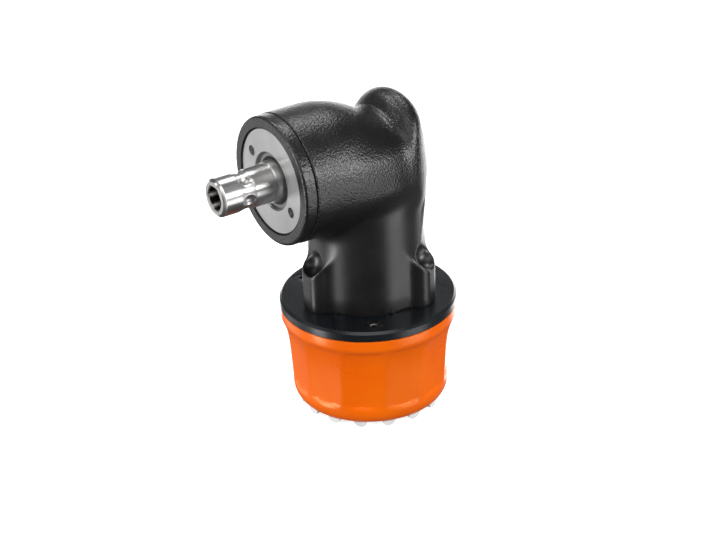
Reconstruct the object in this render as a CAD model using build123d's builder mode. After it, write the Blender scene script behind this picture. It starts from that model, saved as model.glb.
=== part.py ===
from build123d import *
import os
from math import atan, cos, hypot, pi, radians, sin, sqrt, tan

# Right angle attachment. Millimetres, +Z up along the machine axis and +X along
# the output spindle. The origin is on the machine axis, at the tips of the
# indexing teeth on which the attachment stands.

# Fits
fit_gap = 0.02
running_gap = 0.05
sliding_gap = 0.3
seam_chamfer = 0.25
cutter_overrun = 1.0

# Heights along the machine axis
tooth_tip_z = 0.0
sleeve_bottom_z = 2.0
plate_thickness = 2.8
plate_top_z = 34.0
output_height = 77.8

# Casting
barrel_radius = 16.3
dome_drop = 5.8
head_radius = 18.7
head_front_x = 27.3
shoulder_length = 10.3
saddle_radius = 12.2
saddle_blend = 3.5
bulge_x = -9.6
bulge_radius = 17.0
bulge_crest = 4.2
rear_x = -17.0
rear_slope = 60.0
rear_edge_radius = 2.0
rear_wall = 1.7
root_radius = 3.0
head_bore_radius = 9.3
lobe_count = 3
lobe_reach = 20.8
lobe_width = 8.0
lobe_edge_radius = 2.6
lobe_blend = 4.0
lobe_hollow = 2.5
lobe_crest = 0.8
lobe_meet_depth = 0.1
lobe_lead = 1.55
lobe_top_allowance = 6.0
lobe_root_rise = 0.3
lobe_outer_height = 11.8
lobe_slope_rise = 3.4
pinion_well_slope = 1.5
pinion_well_gap = 0.72
screw_hole_margin = 1.5

# Bevel gears, apex where the two axes cross
gear_module = 1.4
pinion_teeth = 11
crown_teeth = 17
face_width = 4.2
pressure_angle = 20.0
tooth_thinning = 0.14
tooth_root_overlap = 0.25
flank_share = 0.35
gear_chamber_gap = 0.64
gear_chamber_length = 5.4
gear_chamber_slope = 2.2
gear_back_rim = 1.23
dedendum_factor = 1.25

# Output spindle
nose_radius = 5.5
nose_chamfer = 0.8
nose_length = 16.7
seal_journal_reach = 1.4
groove_setback = 8.1
seal_journal_radius = 6.0
spindle_body_radius = 7.0
spindle_collar_radius = 7.8
spindle_collar_length = 2.5
rear_journal_radius = 5.0
gear_seat_radius = 6.0
gear_hub_front_x = -4.3
gear_hub_radius = 7.2
hex_across_flats = 6.35
socket_depth = 12.0
groove_width = 4.6
groove_depth = 0.35
dimple_count = 6
dimple_angle = -11.0
dimple_sphere_radius = 2.0
dimple_depth = 0.9
socket_cone_depth = 1.6
socket_cone_inset = 0.1
socket_cone_overlap = 0.5
key_length = 3.4
key_setback = 2.0
key_width = 2.0
key_height = 2.0
key_bottom_radius = 4.9
key_end_flat = 0.1
hub_relief = 0.2

# Front ring, nut and seal
ring_edge_radius = 0.9
ring_inset = 0.2
ring_length = 3.75
nut_face_inset = 0.45
nut_thread_height = 0.4
nut_flange_height = 1.0
nut_recess_height = 2.2
nut_flange_length = 1.7
nut_bore_radius = 8.0
nut_recess_depth = 2.4
nut_edge_chamfer = 0.5
spanner_hole_radius = 1.5
spanner_hole_depth = 1.4
spanner_circle_radius = 11.3
spanner_angle = 148.0
seal_length = 1.6
seal_recess = 0.5
seal_lip_flare = 0.9
seal_lip_depth = 0.5

# Ball bearings
front_bearing_setback = 11.3
front_bearing_outer = 14.0
front_bearing_ball = 2.0
input_bearing_outer = 13.0
input_bearing_ball = 1.9
bearing_width = 8.0
race_lip = 0.6
ball_count = 8
cage_thickness = 1.2
cage_gap = 0.1
bush_flange_radius = 9.0
bush_flange_thickness = 0.7
bush_outer_radius = 7.0
spacer_wall = 1.2
pinion_overhang = 17.8

# Retaining rings
circlip_thickness = 1.2
circlip_depth = 0.6
circlip_width = 1.6
circlip_gap_angle = 50.0

# Input shaft
shaft_radius = 5.0
shaft_shoulder_radius = 6.2
drive_hex_bottom_z = 3.0
drive_hex_length = 19.0
drive_neck_radius = 4.2
drive_hex_chamfer = 0.5
input_seal_radius = 8.0
spigot_height = 2.0
spigot_inner_radius = 10.4

# Cover plate, its screws and the casting's screws
plate_chamfer = 0.7
cover_screw_radius = 1.5
cover_screw_head = 2.7
cover_screw_length = 5.2
housing_screw_circle = 17.3
housing_screw_radius = 1.5
housing_screw_head = 2.8
housing_screw_length = 11.0
driver_hex = 1.8
driver_depth = 0.9
screw_head_rim = 0.2
screw_sink = 0.1

# Indexing collar and its teeth
collar_bore_radius = 17.8
collar_wall = 2.0
collar_flange_inset = 2.4
cover_screw_inset = 2.1
index_tooth_overhang = 1.5
index_tooth_embed = 0.5
collar_flange_thickness = 2.8
index_teeth = 16
index_tooth_radius = 2.0
index_tooth_angle = 2.25
tooth_inset = 0.3

# Locking sleeve, its ring and its bayonet pins
sleeve_wall = 1.6
sleeve_middle_flare = 0.5
sleeve_waist_flare = 1.15
sleeve_shoulder_flare = 2.4
sleeve_rim_flare = 2.8
sleeve_foot_taper = 1.5
sleeve_rim_height = 3.9
sleeve_rim_slope = 1.0
sleeve_waist_drop = 4.6
sleeve_middle_drop = 11.0
sleeve_foot_height = 4.6
plate_overhang = 0.1
panel_count = 12
panel_rise = 0.12
panel_start_angle = 21.0
sleeve_turn_angle = 30.0
pin_count = 3
pin_radius = 2.0
pin_start_angle = -15.0
pin_reach = 1.2
pin_head_inset = 0.2
locking_ring_bottom_z = 12.0
locking_ring_height = 8.0
locking_ring_wall = 1.4

# Planes and axes shared by the turned pieces
output_axis = Axis((0, 0, output_height), (1, 0, 0))
output_section = Plane((0, 0, output_height), x_dir=(1, 0, 0), z_dir=(0, -1, 0))
input_section = Plane.XZ
crown_frame = Plane((0, 0, output_height), x_dir=(0, 0, -1), z_dir=(-1, 0, 0))
pinion_frame = Plane((0, 0, output_height), x_dir=(-1, 0, 0), z_dir=(0, 0, -1))
crown_section = Plane((0, 0, output_height), x_dir=(0, 0, -1), z_dir=(0, 1, 0))

# Radii that follow from the machine's neck outwards
collar_radius = collar_bore_radius + collar_wall
locking_ring_outer = collar_radius + sliding_gap + locking_ring_wall
sleeve_lower_radius = locking_ring_outer + sleeve_wall
sleeve_flange_radius = sleeve_lower_radius + sleeve_rim_flare
plate_radius = sleeve_flange_radius + plate_overhang
collar_flange_radius = plate_radius - collar_flange_inset
cover_screw_circle = collar_flange_radius - cover_screw_inset
index_tooth_reach = collar_radius + index_tooth_overhang
pin_inner_radius = collar_bore_radius - pin_reach
pin_outer_radius = locking_ring_outer - pin_head_inset

# Heights that follow from the plate and the output axis
plate_bottom_z = plate_top_z - plate_thickness
sleeve_top_z = plate_bottom_z - sliding_gap
panel_top_z = sleeve_top_z - sleeve_rim_height
panel_bottom_z = sleeve_bottom_z + sleeve_foot_height
collar_flange_z = plate_bottom_z - collar_flange_thickness
index_tooth_top_z = sleeve_bottom_z - sliding_gap
collar_bottom_z = index_tooth_top_z - index_tooth_embed
pin_height = locking_ring_bottom_z + locking_ring_height / 2
lower_bearing_z = plate_top_z + spigot_height
upper_bearing_top_z = output_height - pinion_overhang
upper_bearing_z = upper_bearing_top_z - bearing_width
spacer_z = lower_bearing_z + bearing_width
dome_centre_z = output_height - dome_drop
barrel_bore_radius = input_bearing_outer

# Pitch geometry of the bevel gears
pinion_pitch_radius = gear_module * pinion_teeth / 2
crown_pitch_radius = gear_module * crown_teeth / 2
pinion_cone_angle = atan(pinion_teeth / crown_teeth)
crown_cone_angle = pi / 2 - pinion_cone_angle
cone_distance = hypot(pinion_pitch_radius, crown_pitch_radius)
toe_scale = (cone_distance - face_width) / cone_distance

# Lengths along the output axis
front_bearing_x = head_front_x - front_bearing_setback
front_bearing_end_x = front_bearing_x + bearing_width
shoulder_x = head_front_x - shoulder_length
ring_front_x = head_front_x + ring_length
nut_face_x = ring_front_x - nut_face_inset
nut_shoulder_x = nut_face_x - nut_flange_length
seal_journal_end_x = nut_face_x + seal_journal_reach
nose_end_x = seal_journal_end_x + nose_length
groove_x = nose_end_x - groove_setback
crown_pitch_depth = crown_pitch_radius / tan(crown_cone_angle)
gear_back_x = -crown_pitch_depth - gear_module * dedendum_factor * sin(crown_cone_angle) - gear_back_rim
key_centre_x = gear_back_x + key_setback
bush_face_x = gear_back_x - sliding_gap
gear_chamber_rear_x = bush_face_x - bush_flange_thickness
gear_chamber_front_x = gear_chamber_rear_x + gear_chamber_length
gear_chamber_neck_x = gear_chamber_front_x + gear_chamber_slope
rear_journal_x = rear_x + rear_wall
bush_pocket_x = rear_journal_x - fit_gap

# Radii about the output axis and inside the barrel
ring_radius = head_radius - ring_inset
nut_thread_radius = front_bearing_outer + nut_thread_height
nut_flange_radius = nut_thread_radius + nut_flange_height
nut_recess_radius = front_bearing_outer - nut_recess_height
gear_chamber_radius = crown_pitch_radius + gear_module * cos(crown_cone_angle) + gear_chamber_gap
pinion_well_radius = pinion_pitch_radius + gear_module * cos(pinion_cone_angle) + pinion_well_gap
barrel_bore_top_z = output_height - gear_chamber_radius

# Faces used by more than one operation
nut_face = Plane((nut_face_x, 0, output_height), x_dir=(0, 1, 0), z_dir=(1, 0, 0))
nose_face = Plane((nose_end_x, 0, output_height), x_dir=(0, 1, 0), z_dir=(1, 0, 0))
dimple_plane = Plane((groove_x, 0, output_height), x_dir=(0, 1, 0), z_dir=(1, 0, 0))


def turned(section, points, axis, mode=Mode.ADD):
    """Turn a closed outline of points about an axis."""
    with BuildSketch(section, mode=Mode.PRIVATE) as outline:
        with BuildLine():
            Polyline(*points, close=True)
        make_face()
    revolve(outline.sketch, axis=axis, mode=mode)


def save(piece, name):
    """Label a finished piece and write it to its own file."""
    piece.part.label = name
    export_step(piece.part, f"parts/{name}.step")


def cone_point(pitch_radius, cone_angle, height):
    """Point of the heel section, height above the pitch cone, as radius and depth."""
    radius = pitch_radius + height * cos(cone_angle)
    depth = pitch_radius / tan(cone_angle) - height * sin(cone_angle)
    return radius, depth


def tooth_half_width(radius, pitch_radius, base_radius, half_angle):
    """Half the width of an involute tooth at a radius of its equivalent spur gear."""
    reach = max(radius, base_radius)
    roll = sqrt(reach**2 - base_radius**2) / base_radius
    pitch_roll = sqrt(pitch_radius**2 - base_radius**2) / base_radius
    spread = roll - atan(roll)
    pitch_spread = pitch_roll - atan(pitch_roll)
    return radius * sin(half_angle + pitch_spread - spread)


def bevel_tooth(pitch_radius, cone_angle):
    """One straight tooth over the local X axis, apex at the origin, narrowing to it."""
    equivalent_radius = pitch_radius / cos(cone_angle)
    base_radius = equivalent_radius * cos(radians(pressure_angle))
    half_width = pi * gear_module / 4 - tooth_thinning / 2
    half_angle = half_width / equivalent_radius
    addendum = gear_module
    dedendum = gear_module * dedendum_factor
    levels = (-dedendum - tooth_root_overlap, -dedendum * flank_share, addendum * flank_share, addendum)
    flank = []
    for level in levels:
        radius = equivalent_radius + level
        width = tooth_half_width(radius, equivalent_radius, base_radius, half_angle)
        flank.append((width, level))
    with BuildPart() as tooth:
        for scale in (1.0, toe_scale):
            heel = (pitch_radius * scale, 0, pitch_radius / tan(cone_angle) * scale)
            normal = (sin(cone_angle), 0, cos(cone_angle))
            with BuildSketch(Plane(heel, x_dir=(0, -1, 0), z_dir=normal)):
                with BuildLine():
                    right = [(width * scale, level * scale) for width, level in flank]
                    left = [(-width, level) for width, level in right]
                    Polyline(*right, *reversed(left), close=True)
                make_face()
        loft(ruled=True)
    return tooth.part


os.makedirs("parts", exist_ok=True)

# Boss for one housing screw: its plan flares into the barrel by two arcs, and its
# turned top runs from a rounded crest up a slope and a hollow to the barrel
lobe_top_z = plate_top_z + lobe_outer_height
lobe_root_z = lobe_top_z + lobe_slope_rise
lobe_half = lobe_width / 2
blend_reach = sqrt((barrel_radius + lobe_blend) ** 2 - (lobe_half + lobe_blend) ** 2)
blend_share = barrel_radius / (barrel_radius + lobe_blend)
blend_start = (blend_reach * blend_share, (lobe_half + lobe_blend) * blend_share)
lobe_inner_x = barrel_bore_radius / 2
with BuildPart() as lobe:
    with BuildSketch(Plane.XY.offset(plate_top_z)):
        with BuildLine():
            Line((lobe_inner_x, 0), (lobe_inner_x, blend_start[1]))
            Line((lobe_inner_x, blend_start[1]), blend_start)
            RadiusArc(blend_start, (blend_reach, lobe_half), -lobe_blend)
            side = Line((blend_reach, lobe_half), (lobe_reach - lobe_edge_radius, lobe_half))
            corner = (lobe_reach, lobe_half - lobe_edge_radius)
            RadiusArc(side @ 1, corner, lobe_edge_radius)
            Line(corner, (lobe_reach, 0))
            Line((lobe_reach, 0), (lobe_inner_x, 0))
        make_face()
        mirror(about=Plane.XZ)
    extrude(amount=lobe_root_z + lobe_top_allowance - plate_top_z)
    with BuildSketch(input_section):
        with BuildLine():
            crown = FilletPolyline(
                (barrel_radius - lobe_lead, lobe_root_z + lobe_top_allowance),
                (barrel_radius - lobe_meet_depth, lobe_root_z + lobe_root_rise),
                (lobe_reach, lobe_top_z),
                (lobe_reach, plate_top_z),
                radius=(lobe_hollow, lobe_crest),
            )
            Polyline(
                crown @ 1,
                (lobe_inner_x / 2, plate_top_z),
                (lobe_inner_x / 2, lobe_root_z + lobe_top_allowance),
                crown @ 0,
            )
        make_face()
    revolve(axis=Axis.Z, mode=Mode.INTERSECT)

# Head outline: one long arc falls from the shoulder to the saddle, a hollow arc
# turns it up again, and the crest arc of the rear bulge closes it
crest_centre = (bulge_x, bulge_radius - bulge_crest)
saddle_rise = saddle_radius + saddle_blend - crest_centre[1]
saddle_run = sqrt((bulge_crest + saddle_blend) ** 2 - saddle_rise**2)
saddle_centre = (bulge_x + saddle_run, saddle_radius + saddle_blend)
shoulder_run = shoulder_x - saddle_centre[0]
shoulder_drop = head_radius - saddle_centre[1]
shoulder_reach = shoulder_run**2 + shoulder_drop**2
slope_radius = (shoulder_reach - saddle_blend**2) / (2 * (saddle_blend + shoulder_drop))
slope_centre = (shoulder_x, head_radius - slope_radius)


def between(start, end, distance):
    """Point at a distance from start on the line to end."""
    share = distance / hypot(end[0] - start[0], end[1] - start[1])
    return start[0] + (end[0] - start[0]) * share, start[1] + (end[1] - start[1]) * share


slope_end = between(slope_centre, saddle_centre, slope_radius)
saddle_end = between(crest_centre, saddle_centre, bulge_crest)
rear_turn = radians(rear_slope)
crest_end = (bulge_x - bulge_crest * sin(rear_turn), crest_centre[1] + bulge_crest * cos(rear_turn))
rear_flat_radius = crest_end[1] - (crest_end[0] - rear_x) * tan(rear_turn)

# Gear housing: a domed barrel with three screw bosses, and the head turned about
# the output axis, with its saddle and rear bulge, filleted into the barrel
with BuildPart() as gear_housing:
    with BuildSketch(input_section):
        with BuildLine():
            Polyline((0, plate_top_z), (barrel_radius, plate_top_z), (barrel_radius, dome_centre_z))
            CenterArc((0, dome_centre_z), barrel_radius, 0, 90)
            Line((0, dome_centre_z + barrel_radius), (0, plate_top_z))
        make_face()
    revolve(axis=Axis.Z)
    with PolarLocations(0, lobe_count):
        add(lobe.part)
    with BuildSketch(output_section):
        with BuildLine():
            Polyline(
                (head_front_x, 0),
                (head_front_x, head_radius - seam_chamfer),
                (head_front_x - seam_chamfer, head_radius),
                (shoulder_x, head_radius),
            )
            RadiusArc((shoulder_x, head_radius), slope_end, -slope_radius)
            RadiusArc(slope_end, saddle_end, saddle_blend)
            RadiusArc(saddle_end, crest_end, -bulge_crest)
            rear = FilletPolyline(
                crest_end,
                (rear_x, rear_flat_radius),
                (rear_x, 0),
                radius=rear_edge_radius,
            )
            Line(rear @ 1, (head_front_x, 0))
        make_face()
    revolve(axis=output_axis)
    fillet(gear_housing.edges(Select.NEW), root_radius)

    # Barrel bore, gear chamber and the way through the head
    turned(
        input_section,
        [
            (0, plate_top_z),
            (barrel_bore_radius, plate_top_z),
            (barrel_bore_radius, barrel_bore_top_z),
            (pinion_well_radius, barrel_bore_top_z + pinion_well_slope),
            (pinion_well_radius, output_height),
            (0, output_height),
        ],
        Axis.Z,
        mode=Mode.SUBTRACT,
    )
    turned(
        output_section,
        [
            (bush_pocket_x, 0),
            (bush_pocket_x, bush_outer_radius),
            (gear_chamber_rear_x, bush_outer_radius),
            (gear_chamber_rear_x, gear_chamber_radius),
            (gear_chamber_front_x, gear_chamber_radius),
            (gear_chamber_neck_x, head_bore_radius),
            (front_bearing_x, head_bore_radius),
            (front_bearing_x, front_bearing_outer),
            (front_bearing_end_x, front_bearing_outer),
            (front_bearing_end_x, nut_thread_radius),
            (head_front_x, nut_thread_radius),
            (head_front_x, 0),
        ],
        output_axis,
        mode=Mode.SUBTRACT,
    )
    turned(
        input_section,
        [
            (barrel_bore_radius - cutter_overrun, upper_bearing_top_z),
            (barrel_bore_radius + circlip_depth, upper_bearing_top_z),
            (barrel_bore_radius + circlip_depth, upper_bearing_top_z + circlip_thickness),
            (barrel_bore_radius - cutter_overrun, upper_bearing_top_z + circlip_thickness),
        ],
        Axis.Z,
        mode=Mode.SUBTRACT,
    )
    with BuildSketch(Plane.XY.offset(plate_top_z)):
        with PolarLocations(housing_screw_circle, lobe_count):
            Circle(housing_screw_radius + fit_gap)
    extrude(amount=lobe_outer_height - screw_hole_margin, mode=Mode.SUBTRACT)
save(gear_housing, "gear_housing")

# Front ring clamped against the casting by the nut's flange
with BuildPart() as front_ring:
    turned(
        output_section,
        [
            (head_front_x, nut_thread_radius + sliding_gap),
            (head_front_x, ring_radius - seam_chamfer),
            (head_front_x + seam_chamfer, ring_radius),
            (ring_front_x, ring_radius),
            (ring_front_x, nut_flange_radius + fit_gap),
            (nut_shoulder_x, nut_flange_radius + fit_gap),
            (nut_shoulder_x, nut_thread_radius + sliding_gap),
        ],
        output_axis,
    )
    rim = front_ring.edges().filter_by(GeomType.CIRCLE).group_by(Axis.X)[-1].sort_by(SortBy.RADIUS)[-1]
    fillet(rim, ring_edge_radius)
save(front_ring, "front_ring")

# Bearing nut, screwed into the head and turned with a pin spanner
with BuildPart() as bearing_nut:
    turned(
        output_section,
        [
            (front_bearing_end_x, nut_recess_radius),
            (front_bearing_end_x, nut_thread_radius - fit_gap),
            (nut_shoulder_x, nut_thread_radius - fit_gap),
            (nut_shoulder_x, nut_flange_radius),
            (nut_face_x - nut_edge_chamfer, nut_flange_radius),
            (nut_face_x, nut_flange_radius - nut_edge_chamfer),
            (nut_face_x, nut_bore_radius + nut_edge_chamfer),
            (nut_face_x - nut_edge_chamfer, nut_bore_radius),
            (front_bearing_end_x + nut_recess_depth, nut_bore_radius),
            (front_bearing_end_x + nut_recess_depth, nut_recess_radius),
        ],
        output_axis,
    )
    with BuildSketch(nut_face):
        with PolarLocations(spanner_circle_radius, 2, start_angle=spanner_angle):
            Circle(spanner_hole_radius)
    extrude(amount=-spanner_hole_depth, mode=Mode.SUBTRACT)
save(bearing_nut, "bearing_nut")

# Shaft seal pressed into the nut's bore
seal_front_x = nut_face_x - nut_edge_chamfer - seal_recess
with BuildPart() as shaft_seal:
    turned(
        output_section,
        [
            (seal_front_x - seal_length, seal_journal_radius + running_gap),
            (seal_front_x - seal_length, nut_bore_radius - fit_gap),
            (seal_front_x, nut_bore_radius - fit_gap),
            (seal_front_x, seal_journal_radius + seal_lip_flare),
            (seal_front_x - seal_lip_depth, seal_journal_radius + running_gap),
        ],
        output_axis,
    )
save(shaft_seal, "shaft_seal")

# Output spindle: rear journal, keyed gear seat, shoulder for the bearing, seal
# journal, and the nose with its socket, groove and ball dimples
groove_start = groove_x - groove_width / 2
groove_end = groove_x + groove_width / 2
collar_rear_x = front_bearing_x - spindle_collar_length
socket_floor_x = nose_end_x - socket_depth
socket_cone_radius = hex_across_flats / 2 - socket_cone_inset
with BuildPart() as output_spindle:
    with BuildSketch(output_section):
        with BuildLine():
            Polyline(
                (groove_start, nose_radius),
                (seal_journal_end_x, nose_radius),
                (seal_journal_end_x, seal_journal_radius - seam_chamfer),
                (seal_journal_end_x - seam_chamfer, seal_journal_radius),
                (front_bearing_end_x + circlip_thickness, seal_journal_radius),
                (front_bearing_end_x + circlip_thickness, seal_journal_radius - circlip_depth),
                (front_bearing_end_x, seal_journal_radius - circlip_depth),
                (front_bearing_end_x, seal_journal_radius),
                (front_bearing_x, seal_journal_radius),
                (front_bearing_x, spindle_collar_radius),
                (collar_rear_x, spindle_collar_radius),
                (collar_rear_x, spindle_body_radius),
                (gear_hub_front_x, spindle_body_radius),
                (gear_hub_front_x, gear_seat_radius),
                (bush_face_x, gear_seat_radius),
                (bush_face_x, rear_journal_radius),
                (rear_journal_x, rear_journal_radius),
                (rear_journal_x, 0),
                (nose_end_x, 0),
                (nose_end_x, nose_radius - nose_chamfer),
                (nose_end_x - nose_chamfer, nose_radius),
                (groove_end, nose_radius),
            )
            ThreePointArc(
                (groove_end, nose_radius),
                (groove_x, nose_radius - groove_depth),
                (groove_start, nose_radius),
            )
        make_face()
    revolve(axis=output_axis)
    with BuildSketch(nose_face):
        RegularPolygon(hex_across_flats / 2, 6, major_radius=False)
    extrude(amount=-socket_depth, mode=Mode.SUBTRACT)
    turned(
        output_section,
        [
            (socket_floor_x - socket_cone_depth, 0),
            (socket_floor_x, socket_cone_radius),
            (socket_floor_x + socket_cone_overlap, socket_cone_radius),
            (socket_floor_x + socket_cone_overlap, 0),
        ],
        output_axis,
        mode=Mode.SUBTRACT,
    )
    dimple_centre = nose_radius - groove_depth - dimple_depth + dimple_sphere_radius
    with Locations(dimple_plane):
        with PolarLocations(dimple_centre, dimple_count, start_angle=dimple_angle):
            Sphere(dimple_sphere_radius, mode=Mode.SUBTRACT)
    with Locations((key_centre_x, 0, output_height + key_bottom_radius + key_height / 2)):
        Box(key_length, key_width, key_height, mode=Mode.SUBTRACT)
save(output_spindle, "output_spindle")

# Crown gear on the spindle's gear seat, teeth towards the apex
crown_heel_root = cone_point(crown_pitch_radius, crown_cone_angle, -gear_module * dedendum_factor)
crown_toe_root = (crown_heel_root[0] * toe_scale, crown_heel_root[1] * toe_scale)
crown_back_depth = -gear_back_x
crown_back_radius = crown_heel_root[0] - (crown_back_depth - crown_heel_root[1]) / tan(crown_cone_angle)
crown_tooth = bevel_tooth(crown_pitch_radius, crown_cone_angle)
with BuildPart() as crown_gear:
    turned(
        crown_section,
        [
            (gear_seat_radius + fit_gap, -gear_hub_front_x),
            (gear_hub_radius, -gear_hub_front_x),
            (gear_hub_radius, crown_toe_root[1] - hub_relief),
            crown_toe_root,
            crown_heel_root,
            (crown_back_radius, crown_back_depth),
            (gear_seat_radius + fit_gap, crown_back_depth),
        ],
        output_axis,
    )
    with Locations(crown_frame):
        with PolarLocations(0, crown_teeth, start_angle=180 / crown_teeth):
            add(crown_tooth)
    with BuildSketch(Plane.YZ.offset(key_centre_x), mode=Mode.PRIVATE) as key_slot:
        with Locations((0, output_height + key_bottom_radius + key_height / 2)):
            Rectangle(key_width, key_height)
    extrude(key_slot.sketch, amount=key_length / 2, both=True, mode=Mode.SUBTRACT)
save(crown_gear, "crown_gear")

# Key between spindle and gear
with BuildPart() as gear_key:
    with Locations((key_centre_x, 0, output_height + key_bottom_radius + key_height / 2)):
        Box(key_length - 2 * fit_gap, key_width - 2 * fit_gap, key_height - 2 * fit_gap)
    fillet(gear_key.edges().filter_by(Axis.Z), key_width / 2 - key_end_flat)
save(gear_key, "gear_key")

# Flanged bush for the spindle's rear journal
with BuildPart() as rear_bush:
    turned(
        output_section,
        [
            (rear_journal_x, rear_journal_radius + running_gap),
            (rear_journal_x, bush_outer_radius - fit_gap),
            (gear_chamber_rear_x, bush_outer_radius - fit_gap),
            (gear_chamber_rear_x, bush_flange_radius),
            (bush_face_x - fit_gap, bush_flange_radius),
            (bush_face_x - fit_gap, rear_journal_radius + running_gap),
        ],
        output_axis,
    )
save(rear_bush, "rear_bush")


def circlip(section_plane, inner_radius, outer_radius):
    """Open retaining ring on a plane, its gap centred on the plane's X axis."""
    reach = 2 * outer_radius
    rise = reach * tan(radians(circlip_gap_angle / 2))
    with BuildSketch(section_plane, mode=Mode.PRIVATE) as ring:
        Circle(outer_radius)
        Circle(inner_radius, mode=Mode.SUBTRACT)
        with BuildLine():
            Polyline((0, 0), (reach, -rise), (reach, rise), close=True)
        make_face(mode=Mode.SUBTRACT)
    extrude(ring.sketch, amount=circlip_thickness - 2 * fit_gap)


# Retaining rings: on the spindle, on the input shaft and in the barrel
spindle_ring_inner = seal_journal_radius - circlip_depth + fit_gap
with BuildPart() as spindle_circlip:
    ring_origin = (front_bearing_end_x + fit_gap, 0, output_height)
    spindle_ring_plane = Plane(ring_origin, x_dir=(0, 0, 1), z_dir=(1, 0, 0))
    circlip(spindle_ring_plane, spindle_ring_inner, spindle_ring_inner + circlip_width)
save(spindle_circlip, "spindle_circlip")

shaft_ring_inner = shaft_radius - circlip_depth + fit_gap
with BuildPart() as shaft_circlip:
    shaft_ring_plane = Plane.XY.offset(lower_bearing_z - circlip_thickness + fit_gap)
    circlip(shaft_ring_plane, shaft_ring_inner, shaft_ring_inner + circlip_width)
save(shaft_circlip, "shaft_circlip")

bore_ring_outer = barrel_bore_radius + circlip_depth - fit_gap
with BuildPart() as bore_circlip:
    bore_ring_plane = Plane.XY.offset(upper_bearing_top_z + fit_gap)
    circlip(bore_ring_plane, bore_ring_outer - circlip_width, bore_ring_outer)
save(bore_circlip, "bore_circlip")


def make_bearing(name, seat, outer_radius, inner_radius, ball_radius):
    """Write the four pieces of a ball bearing that starts on the seat plane."""
    axis = Axis(seat.origin, seat.z_dir)
    section = Plane(seat.origin, x_dir=seat.x_dir, z_dir=seat.x_dir.cross(seat.z_dir))
    middle = bearing_width / 2
    pitch = (outer_radius + inner_radius) / 2
    outer_land = pitch + ball_radius - race_lip
    inner_land = pitch - ball_radius + race_lip
    with BuildPart() as outer_race:
        with BuildSketch(section):
            with Locations(((outer_radius - fit_gap + outer_land) / 2, middle)):
                Rectangle(outer_radius - fit_gap - outer_land, bearing_width)
            with Locations((pitch, middle)):
                Circle(ball_radius + running_gap, mode=Mode.SUBTRACT)
        revolve(axis=axis)
    save(outer_race, f"{name}_outer_race")
    with BuildPart() as inner_race:
        with BuildSketch(section):
            with Locations(((inner_radius + fit_gap + inner_land) / 2, middle)):
                Rectangle(inner_land - inner_radius - fit_gap, bearing_width)
            with Locations((pitch, middle)):
                Circle(ball_radius + running_gap, mode=Mode.SUBTRACT)
        revolve(axis=axis)
    save(inner_race, f"{name}_inner_race")
    with BuildPart() as balls:
        with Locations(seat.offset(middle)):
            with PolarLocations(pitch, ball_count):
                Sphere(ball_radius)
    save(balls, f"{name}_balls")
    with BuildPart() as cage:
        with BuildSketch(section):
            with Locations((pitch, middle)):
                Rectangle(cage_thickness, 2 * ball_radius + cage_thickness)
        revolve(axis=axis)
        with Locations(seat.offset(middle)):
            with PolarLocations(pitch, ball_count):
                Cylinder(
                    ball_radius + cage_gap,
                    3 * cage_thickness,
                    rotation=(0, 90, 0),
                    mode=Mode.SUBTRACT,
                )
    save(cage, f"{name}_cage")


# Ball bearings: one in the head, two in the barrel
front_seat = Plane((front_bearing_x, 0, output_height), x_dir=(0, 1, 0), z_dir=(1, 0, 0))
make_bearing("front_bearing", front_seat, front_bearing_outer, seal_journal_radius, front_bearing_ball)
for name, height in (("upper_bearing", upper_bearing_z), ("lower_bearing", lower_bearing_z)):
    make_bearing(name, Plane.XY.offset(height), input_bearing_outer, shaft_radius, input_bearing_ball)

# Spacers between the two races of the input bearings
with BuildPart() as outer_spacer:
    with BuildSketch(Plane.XY.offset(spacer_z)):
        Circle(input_bearing_outer - fit_gap)
        Circle(input_bearing_outer - spacer_wall, mode=Mode.SUBTRACT)
    extrude(amount=upper_bearing_z - spacer_z)
save(outer_spacer, "outer_spacer")

with BuildPart() as inner_spacer:
    with BuildSketch(Plane.XY.offset(spacer_z)):
        Circle(shaft_radius + spacer_wall)
        Circle(shaft_radius + fit_gap, mode=Mode.SUBTRACT)
    extrude(amount=upper_bearing_z - spacer_z)
save(inner_spacer, "inner_spacer")

# Input shaft with the bevel pinion cut on its end and a hex drive below
pinion_heel_root = cone_point(pinion_pitch_radius, pinion_cone_angle, -gear_module * dedendum_factor)
pinion_toe_root = (pinion_heel_root[0] * toe_scale, pinion_heel_root[1] * toe_scale)
drive_hex_top_z = drive_hex_bottom_z + drive_hex_length
pinion_tooth = bevel_tooth(pinion_pitch_radius, pinion_cone_angle)
with BuildPart() as pinion_shaft:
    turned(
        input_section,
        [
            (0, drive_hex_top_z - cutter_overrun),
            (drive_neck_radius, drive_hex_top_z - cutter_overrun),
            (drive_neck_radius, collar_flange_z),
            (shaft_radius, collar_flange_z + shaft_radius - drive_neck_radius),
            (shaft_radius, lower_bearing_z - circlip_thickness),
            (shaft_radius - circlip_depth, lower_bearing_z - circlip_thickness),
            (shaft_radius - circlip_depth, lower_bearing_z),
            (shaft_radius, lower_bearing_z),
            (shaft_radius, upper_bearing_top_z),
            (shaft_shoulder_radius, upper_bearing_top_z),
            (shaft_shoulder_radius, output_height - pinion_heel_root[1]),
            (pinion_toe_root[0], output_height - pinion_toe_root[1]),
            (0, output_height - pinion_toe_root[1]),
        ],
        Axis.Z,
    )
    with Locations(pinion_frame):
        with PolarLocations(0, pinion_teeth):
            add(pinion_tooth)
    with BuildSketch(Plane.XY.offset(drive_hex_bottom_z)):
        RegularPolygon(hex_across_flats / 2, 6, major_radius=False)
    extrude(amount=drive_hex_length)
    drive_end = pinion_shaft.faces().sort_by(Axis.Z)[0].edges()
    chamfer(drive_end, drive_hex_chamfer)
save(pinion_shaft, "pinion_shaft")

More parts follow.
